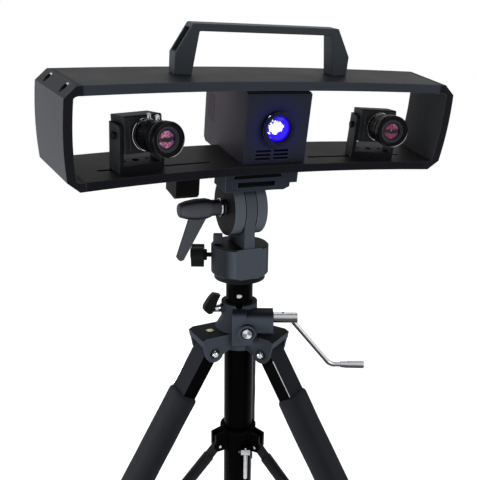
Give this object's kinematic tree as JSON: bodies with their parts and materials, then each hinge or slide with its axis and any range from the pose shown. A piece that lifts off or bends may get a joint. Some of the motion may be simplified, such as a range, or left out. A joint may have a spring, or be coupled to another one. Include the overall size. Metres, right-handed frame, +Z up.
{
  "type": "foot scanner",
  "caption": "Curved frame with cameras and a blue projector between its plates, on a pan and tilt head and a geared folding tripod, for scanning feet in 3-D.",
  "frame": {"origin": "on the floor, under the centre column's axis", "axes": "+Z up along the column; the scanner looks along -Y; +X to the right when facing its lenses"},
  "size_m": [0.5647, 0.5477, 0.8293],
  "materials": {
    "frame": "black anodised, matte",
    "cap": "dark grey anodised, matte",
    "handle": "black moulded, fine grain",
    "projector": "dark grey satin",
    "panel": "black satin",
    "beam": "blue glowing lens",
    "coated": "magenta coated glass",
    "camera": "black anodised",
    "lens": "black anodised with bright rings",
    "engine": "grey",
    "box": "black moulded",
    "head": "dark slate paint",
    "knob": "black moulded",
    "tube": "black anodised",
    "spider": "dark slate paint, cast",
    "steel": "bright plated",
    "foam": "closed-cell foam",
    "rubber": "moulded rubber",
    "level": "clear yellow-green"
  },
  "bodies": {
    "stand": {"spider": "spider", "centre_tube": "tube", "bubble_level": "level", "leg_bolts": "steel"},
    "leg_1": {"upper_leg_1": "tube", "foam_grip_1": "foam"},
    "lower_leg_1": {"lower_leg_1": "tube", "foot_1": "rubber"},
    "leg_2": {"upper_leg_2": "tube", "foam_grip_2": "foam"},
    "lower_leg_2": {"lower_leg_2": "tube", "foot_2": "rubber"},
    "leg_3": {"upper_leg_3": "tube", "foam_grip_3": "foam"},
    "lower_leg_3": {"lower_leg_3": "tube", "foot_3": "rubber"},
    "collar": {"brace_collar": "knob"},
    "brace_1": {"brace_1": "tube"},
    "brace_2": {"brace_2": "tube"},
    "brace_3": {"brace_3": "tube"},
    "clamp": {"collar_clamp": "steel"},
    "column": {"centre_column": "tube", "column_stop": "steel", "pan_seat": "tube"},
    "crank": {"crank": "steel"},
    "crank_grip": {"crank_grip": "steel"},
    "tension_screw": {"tension_screw": "steel"},
    "column_lock": {"column_lock": "knob"},
    "pan": {"pan_body": "head"},
    "pan_knob": {"pan_knob": "knob"},
    "head": {"tilt_platform": "head", "quick_plate": "box", "bottom_plate": "frame", "top_plate": "frame", "left_end_cap": "cap", "right_end_cap": "cap", "end_cap_screws": "steel", "carry_handle": "handle", "projector_housing": "projector", "projector_panel": "panel", "light_engine": "engine", "interface_box": "box"},
    "tilt_lever": {"tilt_lever": "knob"},
    "bracket_left": {"bracket_left": "camera", "pivot_screws_left": "knob"},
    "camera_left": {"camera_left": "camera", "lens_left": "lens", "lens_glass_left": "coated", "lens_locks_left": "steel"},
    "focus_left": {"focus_left": "lens"},
    "bracket_right": {"bracket_right": "camera", "pivot_screws_right": "knob"},
    "camera_right": {"camera_right": "camera", "lens_right": "lens", "lens_glass_right": "coated", "lens_locks_right": "steel"},
    "focus_right": {"focus_right": "lens"},
    "projector_lens": {"projector_lens": "lens", "projector_glass": "beam"},
    "fan": {"fan_rotor": "knob"}
  },
  "joints": [
    {"name": "leg_fold_1", "type": "hinge", "parent": "stand", "child": "leg_1", "pos_m": [0.02044, 0.04343, 0.42001], "axis": [-0.9048, 0.4258, 0], "range_deg": [0, 26]},
    {"name": "leg_slide_1", "type": "slide", "parent": "leg_1", "child": "lower_leg_1", "axis": [0.2193, 0.466, -0.8572], "range_m": [0, 0.15]},
    {"name": "leg_fold_2", "type": "hinge", "parent": "stand", "child": "leg_2", "pos_m": [-0.04783, -0.00402, 0.42001], "axis": [0.0837, -0.9965, 0], "range_deg": [0, 26]},
    {"name": "leg_slide_2", "type": "slide", "parent": "leg_2", "child": "lower_leg_2", "axis": [-0.5132, -0.0431, -0.8572], "range_m": [0, 0.15]},
    {"name": "leg_fold_3", "type": "hinge", "parent": "stand", "child": "leg_3", "pos_m": [0.02739, -0.03941, 0.42001], "axis": [0.8211, 0.5707, 0], "range_deg": [0, 26]},
    {"name": "leg_slide_3", "type": "slide", "parent": "leg_3", "child": "lower_leg_3", "axis": [0.2939, -0.4229, -0.8572], "range_m": [0, 0.15]},
    {"name": "collar_slide", "type": "slide", "parent": "stand", "child": "collar", "axis": [0, 0, 1], "range_m": [0, 0.0361]},
    {"name": "brace_fold_1", "type": "hinge", "parent": "collar", "child": "brace_1", "pos_m": [0.01362, 0.02895, 0.26501], "axis": [-0.9048, 0.4258, 0], "range_deg": [0, 40.8]},
    {"name": "brace_fold_2", "type": "hinge", "parent": "collar", "child": "brace_2", "pos_m": [-0.03189, -0.00268, 0.26501], "axis": [0.0837, -0.9965, 0], "range_deg": [0, 40.8]},
    {"name": "brace_fold_3", "type": "hinge", "parent": "collar", "child": "brace_3", "pos_m": [0.01826, -0.02628, 0.26501], "axis": [0.8211, 0.5707, 0], "range_deg": [0, 40.8]},
    {"name": "clamp_swing", "type": "hinge", "parent": "collar", "child": "clamp", "pos_m": [-0.00156, -0.03116, 0.26201], "axis": [-0.9171, 0.3987, 0], "range_deg": [0, 100]},
    {"name": "column_slide", "type": "slide", "parent": "stand", "child": "column", "axis": [0, 0, 1], "range_m": [-0.01, 0.12]},
    {"name": "crank_turn", "type": "hinge", "parent": "stand", "child": "crank", "pos_m": [-0.00935, -0.0215, 0.46401], "axis": [-0.9171, 0.3987, 0], "range_deg": [-920, 80]},
    {"name": "crank_grip_spin", "type": "hinge", "parent": "crank", "child": "crank_grip", "pos_m": [0.13148, -0.08274, 0.3966], "axis": [-0.9171, 0.3987, 0], "continuous": true},
    {"name": "tension_turn", "type": "hinge", "parent": "stand", "child": "tension_screw", "pos_m": [-0.00601, -0.04041, 0.44961], "axis": [-0.3987, -0.9171, 0], "range_deg": [-180, 180]},
    {"name": "column_lock_turn", "type": "hinge", "parent": "stand", "child": "column_lock", "pos_m": [-0.02994, 0.00183, 0.47101], "axis": [-0.9981, 0.061, 0], "range_deg": [-75, 75]},
    {"name": "pan_turn", "type": "hinge", "parent": "column", "child": "pan", "pos_m": [0, 0, 0.53001], "axis": [0, 0, 1], "continuous": true},
    {"name": "pan_knob_turn", "type": "hinge", "parent": "pan", "child": "pan_knob", "pos_m": [-0.03668, 0.01595, 0.54301], "axis": [-0.9171, 0.3987, 0], "range_deg": [-180, 180]},
    {"name": "tilt", "type": "hinge", "parent": "pan", "child": "head", "pos_m": [0, 0, 0.61001], "axis": [1, 0, 0], "range_deg": [-40, 45]},
    {"name": "tilt_lever_turn", "type": "hinge", "parent": "head", "child": "tilt_lever", "pos_m": [0, 0, 0.61001], "axis": [1, 0, 0], "range_deg": [-60, 30]},
    {"name": "camera_slide_left", "type": "slide", "parent": "head", "child": "bracket_left", "axis": [0.9976, 0.0687, 0.0121], "range_m": [-0.02, 0.05]},
    {"name": "camera_tilt_left", "type": "hinge", "parent": "bracket_left", "child": "camera_left", "pos_m": [-0.14722, -0.06809, 0.71458], "axis": [-0.9659, -0.2549, -0.0449], "range_deg": [-20, 15]},
    {"name": "focus_turn_left", "type": "hinge", "parent": "camera_left", "child": "focus_left", "pos_m": [-0.13927, -0.09803, 0.71341], "axis": [0.2566, -0.9658, -0.0378], "range_deg": [-120, 120]},
    {"name": "camera_slide_right", "type": "slide", "parent": "head", "child": "bracket_right", "axis": [-0.9976, 0.0687, 0.0121], "range_m": [-0.02, 0.05]},
    {"name": "camera_tilt_right", "type": "hinge", "parent": "bracket_right", "child": "camera_right", "pos_m": [0.15122, -0.06809, 0.71458], "axis": [-0.9659, 0.2549, 0.0449], "range_deg": [-20, 15]},
    {"name": "focus_turn_right", "type": "hinge", "parent": "camera_right", "child": "focus_right", "pos_m": [0.14327, -0.09803, 0.71341], "axis": [-0.2566, -0.9658, -0.0378], "range_deg": [-120, 120]},
    {"name": "projector_focus", "type": "hinge", "parent": "head", "child": "projector_lens", "pos_m": [0.0128, -0.06796, 0.71612], "axis": [0, -0.9848, -0.1736], "range_deg": [-60, 60]},
    {"name": "fan_spin", "type": "hinge", "parent": "head", "child": "fan", "pos_m": [0.0138, 0.04529, 0.73609], "axis": [0, 0.9848, 0.1736], "continuous": true}
  ],
  "couplings": [
    {"joint": "leg_fold_2", "follows": "leg_fold_1", "ratio": 1},
    {"joint": "leg_fold_3", "follows": "leg_fold_1", "ratio": 1},
    {"joint": "collar_slide", "follows": "leg_fold_1", "m_per_rad": 0.079333},
    {"joint": "brace_fold_1", "follows": "leg_fold_1", "ratio": 1.5654},
    {"joint": "brace_fold_2", "follows": "leg_fold_1", "ratio": 1.5654},
    {"joint": "brace_fold_3", "follows": "leg_fold_1", "ratio": 1.5654},
    {"joint": "crank_turn", "follows": "column_slide", "rad_per_m": -133.33}
  ]
}
